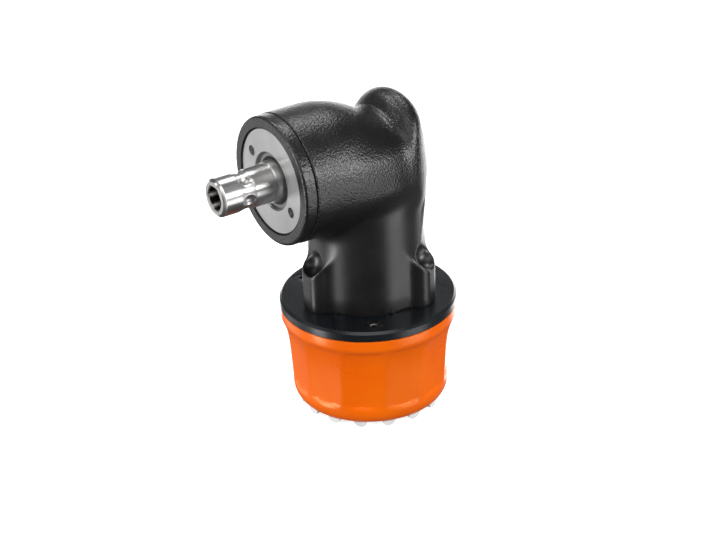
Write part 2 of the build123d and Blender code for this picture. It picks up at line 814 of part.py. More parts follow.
# Grease seal in the cover plate
with BuildPart() as input_seal:
    with BuildSketch(Plane.XY.offset(plate_bottom_z + fit_gap)):
        Circle(input_seal_radius - fit_gap)
        Circle(shaft_radius + running_gap, mode=Mode.SUBTRACT)
    extrude(amount=plate_thickness - 2 * fit_gap)
save(input_seal, "input_seal")


def countersunk_screw(radius, head_radius, length):
    """Countersunk screw, head up, its face at the origin."""
    with BuildPart() as screw:
        turned(
            Plane.XZ,
            [
                (0, 0),
                (head_radius, 0),
                (head_radius, -screw_head_rim),
                (radius, -screw_head_rim - head_radius + radius),
                (radius, -length),
                (0, -length),
            ],
            Axis.Z,
        )
        with BuildSketch(Plane.XY):
            RegularPolygon(driver_hex / 2, 6, major_radius=False)
        extrude(amount=-driver_depth, mode=Mode.SUBTRACT)
    return screw.part


def countersunk_hole(radius, head_radius, depth):
    """Cutter that leaves the fit gap round a countersunk screw of the same sizes."""
    with BuildPart() as cutter:
        turned(
            Plane.XZ,
            [
                (0, cutter_overrun),
                (head_radius + fit_gap, cutter_overrun),
                (head_radius + fit_gap, -screw_head_rim - fit_gap),
                (radius + fit_gap, -screw_head_rim - fit_gap - head_radius + radius),
                (radius + fit_gap, -depth),
                (0, -depth),
            ],
            Axis.Z,
        )
    return cutter.part


# Cover plate with its spigot in the barrel
cover_face = Plane.XY.offset(plate_top_z - screw_sink)
under_face = Plane((0, 0, plate_bottom_z + screw_sink), x_dir=(1, 0, 0), z_dir=(0, 0, -1))
cover_screw = countersunk_screw(cover_screw_radius, cover_screw_head, cover_screw_length)
cover_hole = countersunk_hole(cover_screw_radius, cover_screw_head, plate_thickness + cutter_overrun)
housing_screw = countersunk_screw(housing_screw_radius, housing_screw_head, housing_screw_length)
housing_hole = countersunk_hole(housing_screw_radius, housing_screw_head, plate_thickness + cutter_overrun)
with BuildPart() as cover_plate:
    turned(
        input_section,
        [
            (input_seal_radius, plate_bottom_z),
            (plate_radius, plate_bottom_z),
            (plate_radius, plate_top_z - plate_chamfer),
            (plate_radius - plate_chamfer, plate_top_z),
            (barrel_bore_radius - fit_gap, plate_top_z),
            (barrel_bore_radius - fit_gap, lower_bearing_z),
            (spigot_inner_radius, lower_bearing_z),
            (spigot_inner_radius, plate_top_z),
            (input_seal_radius, plate_top_z),
        ],
        Axis.Z,
    )
    with Locations(cover_face):
        with PolarLocations(cover_screw_circle, lobe_count, start_angle=60):
            add(cover_hole, mode=Mode.SUBTRACT)
    with Locations(under_face):
        with PolarLocations(housing_screw_circle, lobe_count):
            add(housing_hole, mode=Mode.SUBTRACT)
save(cover_plate, "cover_plate")

with BuildPart() as cover_screws:
    with Locations(cover_face):
        with PolarLocations(cover_screw_circle, lobe_count, start_angle=60):
            add(cover_screw)
save(cover_screws, "cover_screws")

with BuildPart() as housing_screws:
    with Locations(under_face):
        with PolarLocations(housing_screw_circle, lobe_count):
            add(housing_screw)
save(housing_screws, "housing_screws")


def radial_section(angle):
    """Section plane through the machine axis at an angle round it."""
    turn = radians(angle)
    return Plane((0, 0, 0), x_dir=(cos(turn), sin(turn), 0), z_dir=(sin(turn), -cos(turn), 0))


def radial_seat(angle, height):
    """Plane that faces outwards from the machine axis at a height and an angle."""
    turn = radians(angle)
    return Plane((0, 0, height), x_dir=(-sin(turn), cos(turn), 0), z_dir=(cos(turn), sin(turn), 0))


pin_angles = [pin_start_angle + index * 360 / pin_count for index in range(pin_count)]

# One rounded tooth of the collar's crown
with BuildPart() as index_tooth:
    with BuildSketch(Plane.YZ.offset(collar_bore_radius + tooth_inset)):
        with Locations((0, tooth_tip_z + index_tooth_radius)):
            Circle(index_tooth_radius)
        with Locations((0, index_tooth_top_z)):
            Rectangle(
                3 * index_tooth_radius,
                3 * index_tooth_radius,
                align=(Align.CENTER, Align.MIN),
                mode=Mode.SUBTRACT,
            )
    extrude(amount=index_tooth_reach - collar_bore_radius - tooth_inset)

# Indexing collar: a flange under the cover plate, a tube that takes the machine's
# neck, three windows for the bayonet pins and a crown of rounded teeth
with BuildPart() as index_collar:
    turned(
        input_section,
        [
            (collar_bore_radius, collar_bottom_z),
            (collar_radius, collar_bottom_z),
            (collar_radius, collar_flange_z),
            (collar_flange_radius, collar_flange_z),
            (collar_flange_radius, plate_bottom_z),
            (collar_bore_radius, plate_bottom_z),
        ],
        Axis.Z,
    )
    with PolarLocations(0, index_teeth, start_angle=index_tooth_angle):
        add(index_tooth.part)
    with BuildSketch(Plane.XY.offset(collar_flange_z)):
        with PolarLocations(cover_screw_circle, lobe_count, start_angle=60):
            Circle(cover_screw_radius + fit_gap)
    extrude(amount=collar_flange_thickness, mode=Mode.SUBTRACT)
    window_half = pin_radius + sliding_gap
    for angle in pin_angles:
        with BuildSketch(radial_section(angle), mode=Mode.PRIVATE) as window:
            with Locations((collar_radius, pin_height)):
                Rectangle(3 * (collar_radius - collar_bore_radius), 2 * window_half)
        revolve(window.sketch, axis=Axis.Z, revolution_arc=sleeve_turn_angle, mode=Mode.SUBTRACT)
        for end_angle in (angle, angle + sleeve_turn_angle):
            with BuildSketch(radial_seat(end_angle, pin_height).offset(collar_bore_radius - cutter_overrun)):
                Circle(window_half)
            extrude(amount=collar_radius - collar_bore_radius + 2 * cutter_overrun, mode=Mode.SUBTRACT)
save(index_collar, "index_collar")

# Steel ring in the sleeve with its three bayonet pins
with BuildPart() as locking_ring:
    with BuildSketch(Plane.XY.offset(locking_ring_bottom_z)):
        Circle(locking_ring_outer)
        Circle(collar_radius + sliding_gap, mode=Mode.SUBTRACT)
    extrude(amount=locking_ring_height)
    for angle in pin_angles:
        with BuildSketch(radial_seat(angle, pin_height).offset(collar_bore_radius)):
            Circle(pin_radius + fit_gap)
        extrude(amount=2 * (locking_ring_outer - collar_bore_radius), mode=Mode.SUBTRACT)
save(locking_ring, "locking_ring")

with BuildPart() as bayonet_pins:
    for angle in pin_angles:
        with BuildSketch(radial_seat(angle, pin_height).offset(pin_inner_radius)):
            Circle(pin_radius)
        extrude(amount=pin_outer_radius - pin_inner_radius)
save(bayonet_pins, "bayonet_pins")

# Locking sleeve: flared under the cover plate, grip panels below, rounded foot
sleeve_bore = collar_radius + sliding_gap
sleeve_pocket = locking_ring_outer + fit_gap
sleeve_mouth = collar_flange_radius + sliding_gap
sleeve_curve = [
    (sleeve_lower_radius, panel_bottom_z),
    (sleeve_lower_radius + sleeve_middle_flare, panel_top_z - sleeve_middle_drop),
    (sleeve_lower_radius + sleeve_waist_flare, panel_top_z - sleeve_waist_drop),
    (sleeve_lower_radius + sleeve_shoulder_flare, panel_top_z),
]
sleeve_foot = (sleeve_lower_radius - sleeve_foot_taper, sleeve_bottom_z)
panel_share = cos(pi / panel_count)
panel_curve = [(radius * panel_share + panel_rise, height) for radius, height in sleeve_curve]
with BuildPart() as panel_cut:
    with BuildSketch(input_section):
        with BuildLine():
            Spline(*panel_curve, tangents=[(0.02, 1), (0.5, 1)])
            Polyline(
                panel_curve[-1],
                (sleeve_flange_radius + cutter_overrun, panel_top_z),
                (sleeve_flange_radius + cutter_overrun, panel_bottom_z),
                panel_curve[0],
            )
        make_face()
    extrude(amount=pi * sleeve_flange_radius / panel_count, both=True)
with BuildPart() as locking_sleeve:
    with BuildSketch(input_section):
        with BuildLine():
            Line((sleeve_bore, sleeve_bottom_z), sleeve_foot)
            Spline(sleeve_foot, sleeve_curve[0], tangents=[(1, 0.9), (0.02, 1)])
            Spline(*sleeve_curve, tangents=[(0.02, 1), (0.5, 1)])
            Polyline(
                sleeve_curve[-1],
                (sleeve_flange_radius, panel_top_z + sleeve_rim_slope),
                (sleeve_flange_radius, sleeve_top_z),
                (sleeve_mouth, sleeve_top_z),
                (sleeve_mouth, collar_flange_z - sliding_gap),
                (sleeve_pocket, collar_flange_z - sliding_gap),
                (sleeve_pocket, locking_ring_bottom_z),
                (sleeve_bore, locking_ring_bottom_z),
                (sleeve_bore, sleeve_bottom_z),
            )
        make_face()
    revolve(axis=Axis.Z)
    with PolarLocations(0, panel_count, start_angle=panel_start_angle):
        add(panel_cut.part, mode=Mode.SUBTRACT)
save(locking_sleeve, "locking_sleeve")
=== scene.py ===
import bpy
import bmesh
import math
from mathutils import Matrix, Vector


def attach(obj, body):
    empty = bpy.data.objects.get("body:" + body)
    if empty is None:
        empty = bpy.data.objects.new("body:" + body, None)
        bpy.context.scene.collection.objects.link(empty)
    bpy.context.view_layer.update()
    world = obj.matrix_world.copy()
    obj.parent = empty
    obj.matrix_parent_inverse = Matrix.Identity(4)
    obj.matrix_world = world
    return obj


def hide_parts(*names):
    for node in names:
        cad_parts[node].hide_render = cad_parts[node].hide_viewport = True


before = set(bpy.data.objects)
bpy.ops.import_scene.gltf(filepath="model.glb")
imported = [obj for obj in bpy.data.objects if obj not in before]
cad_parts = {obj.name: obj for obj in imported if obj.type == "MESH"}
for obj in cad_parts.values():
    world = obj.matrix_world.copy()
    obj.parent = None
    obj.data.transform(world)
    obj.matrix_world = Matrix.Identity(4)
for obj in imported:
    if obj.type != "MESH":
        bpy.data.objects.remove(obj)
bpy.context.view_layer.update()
print("Frame loaded:", len(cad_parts), "nodes")

mm = 0.001
outputCentre = (0.0, 0.0, 77.8 * mm)  # a point of the output spindle's axis
machineAxis = (0.0, 0.0, 1.0)
outputAxis = (1.0, 0.0, 0.0)
gridMerge = 1e-6  # points of a bent grid that are this near, in metres, are one
pieceMerge = 1e-7
leastEdge = 1e-8
sharpAngle = math.radians(35)


# Node helpers: a value goes into a socket as a link or as a plain number
def socketNamed(sockets, name):
    if isinstance(name, int):
        return sockets[name]
    return next(socket for socket in sockets if socket.name == name and socket.enabled)


def addNode(tree, kind, inputs=None, settings=None):
    node = tree.nodes.new(kind)
    for name, value in (settings or {}).items():
        setattr(node, name, value)
    for name, value in (inputs or {}).items():
        socket = socketNamed(node.inputs, name)
        if isinstance(value, bpy.types.NodeSocket):
            tree.links.new(value, socket)
        else:
            socket.default_value = value
    return node


def calculate(tree, operation, *values):
    node = addNode(tree, "ShaderNodeMath", dict(enumerate(values)), {"operation": operation})
    return node.outputs[0]


def vectorResult(tree, operation, *values):
    inputs = dict(enumerate(values))
    node = addNode(tree, "ShaderNodeVectorMath", inputs, {"operation": operation})
    return node.outputs["Value"] if operation in ("LENGTH", "DOT_PRODUCT") else node.outputs["Vector"]


def spread(tree, factor, low, high, fromLow=0.3, fromHigh=0.7):
    inputs = {"Value": factor, "From Min": fromLow, "From Max": fromHigh, "To Min": low, "To Max": high}
    return addNode(tree, "ShaderNodeMapRange", inputs).outputs["Result"]


def noise(tree, place, scale, detail=3.0, roughness=0.5):
    inputs = {"Vector": place, "Scale": scale, "Detail": detail, "Roughness": roughness}
    return addNode(tree, "ShaderNodeTexNoise", inputs).outputs[0]


# Each colour is a triple or a link
def twoColours(tree, factor, first, second):
    inputs = {"Factor": factor}
    for name, colour in {"A": first, "B": second}.items():
        inputs[name] = colour if isinstance(colour, bpy.types.NodeSocket) else (*colour, 1.0)
    node = addNode(tree, "ShaderNodeMix", inputs, {"data_type": "RGBA"})
    return socketNamed(node.outputs, "Result")


# Where the mask is 1, the new colour covers what the base colour was
def coverBase(tree, shader, mask, colour):
    base = shader.inputs["Base Color"]
    tree.links.new(twoColours(tree, mask, base.links[0].from_socket, colour), base)


def newFinish(name, settings):
    material = bpy.data.materials.new(name)
    material.use_nodes = True
    tree = material.node_tree
    shader = tree.nodes["Principled BSDF"]
    for socket, value in settings.get("shader", {}).items():
        shader.inputs[socket].default_value = value
    place = addNode(tree, "ShaderNodeTexCoord").outputs["Object"]
    clouds = noise(tree, place, settings["cloudScale"], detail=4.0, roughness=0.6)
    base = twoColours(tree, spread(tree, clouds, 0.0, 1.0), settings["deep"], settings["light"])
    tree.links.new(base, shader.inputs["Base Color"])
    return material, tree, shader, place, clouds


def setBump(tree, shader, height, distance, under=None):
    inputs = {"Height": height, "Strength": 1.0, "Distance": distance}
    if under is not None:
        inputs["Normal"] = under
    normal = addNode(tree, "ShaderNodeBump", inputs).outputs["Normal"]
    tree.links.new(normal, shader.inputs["Normal"])
    return normal


# Painted casting: leathery grain on the head and bulge, smooth satin on the barrel
castPaint = {
    "deep": (0.0035, 0.0035, 0.0035),
    "light": (0.0075, 0.0073, 0.0070),
    "cloudScale": 60.0,
    "grainScale": 1900.0,
    "grainFoot": 66.0 * mm,  # the grain begins here and is full at grainTop
    "grainTop": 77.0 * mm,
    "grainDrift": 8.0 * mm,  # the clouds move that edge up and down by half of this
    "grainDepth": 0.10 * mm,
    "pebbleSoftness": 0.6,
    "wobbleScale": 1140.0,
    "wobbleShare": 0.8,
    "satinScale": 2600.0,
    "satinDepth": 0.012 * mm,
    "roughness": (0.30, 0.42),
    "shader": {"IOR": 1.5, "Specular IOR Level": 0.55},
}


def castFinish(name, settings, grainEverywhere=False):
    material, tree, shader, place, clouds = newFinish(name, settings)
    inputs = {"Vector": place, "Scale": settings["grainScale"], "Smoothness": settings["pebbleSoftness"]}
    cells = addNode(tree, "ShaderNodeTexVoronoi", inputs, {"feature": "SMOOTH_F1"})
    pebbles = calculate(tree, "SUBTRACT", 1.0, cells.outputs["Distance"])
    wobble = noise(tree, place, settings["wobbleScale"], detail=2.0)
    grain = calculate(tree, "MULTIPLY_ADD", wobble, settings["wobbleShare"], pebbles)
    if grainEverywhere:
        grainShare = spread(tree, clouds, 0.8, 1.0)
    else:
        height = addNode(tree, "ShaderNodeSeparateXYZ", {"Vector": place}).outputs["Z"]
        drift = calculate(tree, "MULTIPLY_ADD", clouds, settings["grainDrift"], -settings["grainDrift"] / 2)
        level = calculate(tree, "ADD", height, drift)
        grainShare = spread(tree, level, 0.0, 1.0, settings["grainFoot"], settings["grainTop"])
    coarse = calculate(tree, "MULTIPLY", grain, grainShare)
    satin = noise(tree, place, settings["satinScale"], detail=2.0)
    fine = setBump(tree, shader, satin, settings["satinDepth"])
    setBump(tree, shader, coarse, settings["grainDepth"], fine)
    low, high = settings["roughness"]
    tree.links.new(spread(tree, clouds, low, high), shader.inputs["Roughness"])
    return material


# Turned and ground metal: fine lines run round the axis, on end faces and on cylinders alike
def turnedFinish(name, settings):
    material, tree, shader, place, clouds = newFinish(name, settings)
    arm = vectorResult(tree, "SUBTRACT", place, settings["centre"])
    along = vectorResult(tree, "DOT_PRODUCT", arm, settings["axis"])
    around = vectorResult(tree, "CROSS_PRODUCT", settings["axis"], arm)
    radius = vectorResult(tree, "LENGTH", around)
    lines = addNode(tree, "ShaderNodeCombineXYZ", {"X": radius, "Y": along}).outputs[0]
    marks = noise(tree, lines, settings["lineScale"], roughness=0.7)
    if "endPlace" in settings:
        # The end face is a darker grey, and the socket is painted near-black as painted shade in its recess
        endPlace = settings["endPlace"]
        socketRadius = settings["socketRadius"]
        end = spread(tree, along, 0.0, 1.0, endPlace, endPlace + settings["endEdge"])
        # Painted shade: inside the socket the colour goes near-black in place of the recess's shadow
        inside = spread(tree, radius, 1.0, 0.0, socketRadius, socketRadius + settings["socketEdge"])
        coverBase(tree, shader, end, settings["endColour"])
        coverBase(tree, shader, inside, settings["socketShadeColour"])
    setBump(tree, shader, marks, settings["lineDepth"])
    low, high = settings["roughness"]
    tree.links.new(spread(tree, marks, low, high), shader.inputs["Roughness"])
    world = {"vector_type": "VECTOR", "convert_from": "OBJECT", "convert_to": "WORLD"}
    circling = addNode(tree, "ShaderNodeVectorTransform", {"Vector": around}, world).outputs[0]
    facing = addNode(tree, "ShaderNodeNewGeometry").outputs["Normal"]
    streak = vectorResult(tree, "CROSS_PRODUCT", facing, circling)
    tree.links.new(vectorResult(tree, "NORMALIZE", streak), shader.inputs["Tangent"])
    return material


# Plain finish: cloudy colour, roughness and a fine grain
def plainFinish(name, settings):
    material, tree, shader, place, clouds = newFinish(name, settings)
    grain = noise(tree, place, settings["grainScale"], roughness=0.6)
    setBump(tree, shader, grain, settings["grainDepth"])
    low, high = settings["roughness"]
    tree.links.new(spread(tree, clouds, low, high), shader.inputs["Roughness"])
    return material


# Shaft seal: a dull pressed case outside, a dark rubber lip inside
sealCase = {"radius": 6.95 * mm, "edge": 0.08 * mm, "colour": (0.22, 0.22, 0.22)}


def sealFinish(name, settings, case):
    material = plainFinish(name, settings)
    tree = material.node_tree
    shader = tree.nodes["Principled BSDF"]
    place = addNode(tree, "ShaderNodeTexCoord").outputs["Object"]
    arm = vectorResult(tree, "SUBTRACT", place, outputCentre)
    radius = vectorResult(tree, "LENGTH", vectorResult(tree, "CROSS_PRODUCT", outputAxis, arm))
    onCase = spread(tree, radius, 0.0, 1.0, case["radius"], case["radius"] + case["edge"])
    coverBase(tree, shader, onCase, case["colour"])
    tree.links.new(onCase, shader.inputs["Metallic"])
    return material


steelShader = {"Metallic": 1.0, "Anisotropic": 0.7}
turnedNut = {
    "deep": (0.36, 0.36, 0.36),
    "light": (0.46, 0.46, 0.455),
    "cloudScale": 90.0,
    "centre": outputCentre,
    "axis": outputAxis,
    "lineScale": 5200.0,
    "lineDepth": 0.004 * mm,
    "roughness": (0.30, 0.42),
    "shader": steelShader,
}
groundSpindle = dict(turnedNut, deep=(0.46, 0.45, 0.445), light=(0.60, 0.59, 0.58), lineScale=7000.0,
                     lineDepth=0.002 * mm, roughness=(0.30, 0.40),
                     endPlace=47.8 * mm, endEdge=0.15 * mm, endColour=(0.40, 0.39, 0.38),
                     # The socket colour is painted shade, near-black in the hexagon socket's recess
                     socketRadius=3.25 * mm, socketEdge=0.1 * mm, socketShadeColour=(0.03, 0.03, 0.03))
plainSteel = dict(turnedNut, deep=(0.45, 0.45, 0.46), light=(0.55, 0.55, 0.56), roughness=(0.25, 0.40))
raceSteel = dict(turnedNut, deep=(0.50, 0.49, 0.485), light=(0.66, 0.65, 0.64), roughness=(0.12, 0.2))
inputSteel = dict(plainSteel, centre=(0.0, 0.0, 0.0), axis=machineAxis)
inputRaceSteel = dict(raceSteel, centre=(0.0, 0.0, 0.0), axis=machineAxis)
gearSteel = {
    "deep": (0.30, 0.29, 0.28),
    "light": (0.42, 0.41, 0.40),
    "cloudScale": 220.0,
    "grainScale": 3000.0,
    "grainDepth": 0.006 * mm,
    "roughness": (0.26, 0.40),
    "shader": {"Metallic": 1.0},
}
polishedBall = dict(gearSteel, deep=(0.62, 0.62, 0.63), light=(0.7, 0.7, 0.7), grainDepth=0.0005 * mm,
                    roughness=(0.05, 0.1))
blackSteel = dict(gearSteel, deep=(0.10, 0.10, 0.105), light=(0.17, 0.17, 0.175), roughness=(0.24, 0.34))
cageBrass = dict(gearSteel, deep=(0.52, 0.34, 0.12), light=(0.66, 0.45, 0.18), roughness=(0.25, 0.4))
bushBronze = dict(gearSteel, deep=(0.38, 0.21, 0.10), light=(0.50, 0.29, 0.14), roughness=(0.3, 0.45))
coverPaint = {
    "deep": (0.0040, 0.0058, 0.0075),
    "light": (0.0065, 0.0085, 0.0105),
    "cloudScale": 70.0,
    "grainScale": 2400.0,
    "grainDepth": 0.010 * mm,
    "roughness": (0.26, 0.34),
    "shader": {"IOR": 1.5},
}
sealRubber = {
    "deep": (0.010, 0.010, 0.010),
    "light": (0.018, 0.018, 0.018),
    "cloudScale": 200.0,
    "grainScale": 2600.0,
    "grainDepth": 0.02 * mm,
    "roughness": (0.45, 0.6),
    "shader": {"IOR": 1.5},
}
paleCollar = {
    "deep": (0.66, 0.65, 0.64),
    "light": (0.78, 0.77, 0.76),
    "cloudScale": 160.0,
    "grainScale": 2200.0,
    "grainDepth": 0.012 * mm,
    "roughness": (0.38, 0.5),
    "shader": {"IOR": 1.45},
}
orangePlastic = {
    "deep": (0.79, 0.108, 0.0004),
    "light": (0.85, 0.138, 0.001),
    "cloudScale": 45.0,
    "grainScale": 1900.0,
    "grainDepth": 0.004 * mm,
    "roughness": (0.26, 0.33),
    "shader": {"IOR": 1.5, "Specular Tint": (1.0, 0.78, 0.4, 1.0)},
}

finishes = {
    "castPaint": castFinish("castPaint", castPaint),
    "ringPaint": castFinish("ringPaint", castPaint, grainEverywhere=True),
    "coverPaint": plainFinish("coverPaint", coverPaint),
    "orangePlastic": plainFinish("orangePlastic", orangePlastic),
    "paleCollar": plainFinish("paleCollar", paleCollar),
    "sealRubber": plainFinish("sealRubber", sealRubber),
    "casedSeal": sealFinish("casedSeal", sealRubber, sealCase),
    "bushBronze": plainFinish("bushBronze", bushBronze),
    "cageBrass": plainFinish("cageBrass", cageBrass),
    "polishedBall": plainFinish("polishedBall", polishedBall),
    "blackSteel": plainFinish("blackSteel", blackSteel),
    "gearSteel": plainFinish("gearSteel", gearSteel),
    "turnedNut": turnedFinish("turnedNut", turnedNut),
    "groundSpindle": turnedFinish("groundSpindle", groundSpindle),
    "plainSteel": turnedFinish("plainSteel", plainSteel),
    "raceSteel": turnedFinish("raceSteel", raceSteel),
    "inputSteel": turnedFinish("inputSteel", inputSteel),
    "inputRaceSteel": turnedFinish("inputRaceSteel", inputRaceSteel),
}
nodeFinish = {
    "gear_housing": "castPaint",
    "front_ring": "ringPaint",
    "bearing_nut": "turnedNut",
    "output_spindle": "groundSpindle",
    "cover_plate": "coverPaint",
    "index_collar": "paleCollar",
    "locking_sleeve": "orangePlastic",
    "shaft_seal": "casedSeal",
    "input_seal": "sealRubber",
    "rear_bush": "bushBronze",
    "front_bearing_cage": "cageBrass",
    "upper_bearing_cage": "cageBrass",
    "lower_bearing_cage": "cageBrass",
    "front_bearing_balls": "polishedBall",
    "upper_bearing_balls": "polishedBall",
    "lower_bearing_balls": "polishedBall",
    "front_bearing_inner_race": "raceSteel",
    "front_bearing_outer_race": "raceSteel",
    "upper_bearing_inner_race": "inputRaceSteel",
    "upper_bearing_outer_race": "inputRaceSteel",
    "lower_bearing_inner_race": "inputRaceSteel",
    "lower_bearing_outer_race": "inputRaceSteel",
    "cover_screws": "blackSteel",
    "housing_screws": "blackSteel",
    "crown_gear": "gearSteel",
    "pinion_shaft": "gearSteel",
    "gear_key": "plainSteel",
    "spindle_circlip": "plainSteel",
    "shaft_circlip": "inputSteel",
    "bore_circlip": "inputSteel",
    "inner_spacer": "inputSteel",
    "outer_spacer": "inputSteel",
    "locking_ring": "inputSteel",
    "bayonet_pins": "inputSteel",
}
for nodeName, finishName in nodeFinish.items():
    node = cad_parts[nodeName]
    node.data.materials.clear()
    node.data.materials.append(finishes[finishName])
print("Finishes on the frame:", len(nodeFinish), "of", len(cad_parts))


# Geometry Nodes: a tree has one named input for each of the piece's values
def newTree(name, values):
    tree = bpy.data.node_groups.new(name, "GeometryNodeTree")
    tree.interface.new_socket("Geometry", in_out="INPUT", socket_type="NodeSocketGeometry")
    tree.interface.new_socket("Geometry", in_out="OUTPUT", socket_type="NodeSocketGeometry")
    for inputName, value in values.items():
        kind = {float: "Float", int: "Int"}.get(type(value), "Material")
        tree.interface.new_socket(inputName, in_out="INPUT", socket_type="NodeSocket" + kind)
    return tree, addNode(tree, "NodeGroupInput").outputs


def closeTree(tree, geometry, material):
    real = addNode(tree, "GeometryNodeRealizeInstances", {"Geometry": geometry}).outputs[0]
    painted = addNode(tree, "GeometryNodeSetMaterial", {"Geometry": real, "Material": material})
    addNode(tree, "NodeGroupOutput", {"Geometry": painted.outputs[0]})


# A grid bent round an axis: its rows follow the outline's points, its columns the turn
def turnedGrid(tree, outline, columns, rows):
    rowCount = calculate(tree, "ADD", rows, 1.0)
    gridInputs = {"Vertices X": calculate(tree, "ADD", columns, 1.0), "Vertices Y": rowCount}
    grid = addNode(tree, "GeometryNodeMeshGrid", gridInputs).outputs["Mesh"]
    index = addNode(tree, "GeometryNodeInputIndex").outputs[0]
    column = calculate(tree, "FLOOR", calculate(tree, "DIVIDE", calculate(tree, "ADD", index, 0.5), rowCount))
    row = calculate(tree, "SUBTRACT", index, calculate(tree, "MULTIPLY", column, rowCount))
    wrapped = calculate(tree, "FLOORED_MODULO", row, rows)
    here = addNode(tree, "GeometryNodeInputPosition").outputs[0]
    sample = addNode(tree, "GeometryNodeSampleIndex", {"Geometry": outline},
                     {"data_type": "FLOAT_VECTOR", "domain": "POINT"})
    tree.links.new(here, socketNamed(sample.inputs, "Value"))
    tree.links.new(wrapped, socketNamed(sample.inputs, "Index"))
    parts = addNode(tree, "ShaderNodeSeparateXYZ", {"Vector": socketNamed(sample.outputs, "Value")}).outputs
    turn = calculate(tree, "MULTIPLY", calculate(tree, "DIVIDE", column, columns), math.tau)
    return grid, turn, parts["X"], parts["Y"], parts["Z"]


def bendGrid(tree, grid, turn, radius, along, onOutputAxis=False):
    first = calculate(tree, "MULTIPLY", radius, calculate(tree, "COSINE", turn))
    second = calculate(tree, "MULTIPLY", radius, calculate(tree, "SINE", turn))
    sides = {"X": first, "Y": second, "Z": along}
    if onOutputAxis:
        sides = {"X": along, "Y": first, "Z": calculate(tree, "ADD", second, outputCentre[2])}
    place = addNode(tree, "ShaderNodeCombineXYZ", sides).outputs[0]
    bent = addNode(tree, "GeometryNodeSetPosition", {"Geometry": grid, "Position": place}).outputs[0]
    return addNode(tree, "GeometryNodeMergeByDistance", {"Geometry": bent, "Distance": gridMerge}).outputs[0]


# The tree runs on the outline, and its result becomes a plain mesh with the inputs set by identifier
def makePiece(name, points, tree, values):
    mesh = bpy.data.meshes.new(name + "Outline")
    edges = [(index, index + 1) for index in range(len(points) - 1)]
    mesh.from_pydata(points, edges, [])
    source = bpy.data.objects.new(name + "Source", mesh)
    bpy.context.scene.collection.objects.link(source)
    modifier = source.modifiers.new(name, "NODES")
    modifier.node_group = tree
    for item in tree.interface.items_tree:
        if item.in_out == "INPUT" and item.name in values:
            modifier[item.identifier] = values[item.name]
    bpy.context.view_layer.update()
    evaluated = source.evaluated_get(bpy.context.evaluated_depsgraph_get())
    plain = bpy.data.meshes.new_from_object(evaluated)
    bpy.data.objects.remove(source)
    shape = bmesh.new()
    shape.from_mesh(plain)
    bmesh.ops.remove_doubles(shape, verts=shape.verts, dist=pieceMerge)
    bmesh.ops.dissolve_degenerate(shape, edges=shape.edges, dist=leastEdge)
    wires = [edge for edge in shape.edges if not edge.link_faces]
    bmesh.ops.delete(shape, geom=wires, context="EDGES")
    bmesh.ops.recalc_face_normals(shape, faces=shape.faces)
    shape.to_mesh(plain)
    shape.free()
    plain.name = name
    plain.shade_smooth()
    plain.set_sharp_from_angle(angle=sharpAngle)
    piece = bpy.data.objects.new(name, plain)
    bpy.context.scene.collection.objects.link(piece)
    return piece


# Outline from corners (radius, height, rounding): each corner becomes a short arc
def roundedOutline(corners, steps=5):
    points = []
    count = len(corners)
    for index, (radius, height, rounding) in enumerate(corners):
        corner = Vector((radius, height))
        before = Vector(corners[index - 1][:2]) - corner
        after = Vector(corners[(index + 1) % count][:2]) - corner
        if rounding == 0:
            points.append(corner)
            continue
        start = corner + before.normalized() * rounding
        end = corner + after.normalized() * rounding
        for step in range(steps + 1):
            share = step / steps
            first = start.lerp(corner, share)
            points.append(first.lerp(corner.lerp(end, share), share))
    return points


# Locking sleeve: a turned skin with twelve soft grip panels
sleeve = {
    "lowerRadius": 23.1 * mm,
    "flangeRadius": 25.9 * mm,
    "boreRadius": 20.1 * mm,
    "pocketRadius": 21.52 * mm,
    "mouthRadius": 23.9 * mm,
    "bottom": 2.0 * mm,
    "top": 30.9 * mm,
    "pocketFloor": 12.0 * mm,
    "pocketRoof": 28.1 * mm,
    "panelBottom": 6.6 * mm,
    "panelTop": 27.0 * mm,
    "flangeDrop": 1.0 * mm,
    "footTaper": 1.5 * mm,
    "gripFlare": (1.06 * mm, 1.34 * mm),  # even flare, and the late flare under the flange
    "rows": 46,
}
sleevePanels = {
    "Columns": 360.0,
    "Panels": 12.0,
    "Panel Start": math.radians(21),
    "Panel Rise": 0.12 * mm,
    "Panel Bottom": sleeve["panelBottom"],
    "Panel Top": sleeve["panelTop"],
    "Panel Twist": math.radians(2),
    "Edge Softness": 0.10 * mm,
    "Step Height": 0.9 * mm,
}


def gripRadius(height):
    if height < sleeve["panelBottom"]:
        short = (sleeve["panelBottom"] - height) / (sleeve["panelBottom"] - sleeve["bottom"])
        return sleeve["lowerRadius"] - sleeve["footTaper"] * short**3
    share = (height - sleeve["panelBottom"]) / (sleeve["panelTop"] - sleeve["panelBottom"])
    even, late = sleeve["gripFlare"]
    return sleeve["lowerRadius"] + even * share + late * share**6


def sleeveOutline():
    rim = sleeve["panelTop"] + sleeve["flangeDrop"]
    inner = [
        (sleeve["flangeRadius"], rim, 0.5 * mm),
        (sleeve["flangeRadius"], sleeve["top"], 0.35 * mm),
        (sleeve["mouthRadius"], sleeve["top"], 0.2 * mm),
        (sleeve["mouthRadius"], sleeve["pocketRoof"], 0),
        (sleeve["pocketRadius"], sleeve["pocketRoof"], 0),
        (sleeve["pocketRadius"], sleeve["pocketFloor"], 0),
        (sleeve["boreRadius"], sleeve["pocketFloor"], 0),
        (sleeve["boreRadius"], sleeve["bottom"], 0.2 * mm),
    ]
    step = (sleeve["panelTop"] - sleeve["bottom"]) / sleeve["rows"]
    heights = [sleeve["bottom"] + step * index for index in range(sleeve["rows"] + 1)]
    foot = (gripRadius(heights[0]), heights[0], 0)
    shoulder = (gripRadius(heights[-1]), heights[-1], 0)
    rest = roundedOutline([shoulder, *inner, foot])[1:-1]
    grip = [(gripRadius(height), 1.0, height) for height in heights]
    return grip + [(point.x, 0.0, point.y) for point in rest]


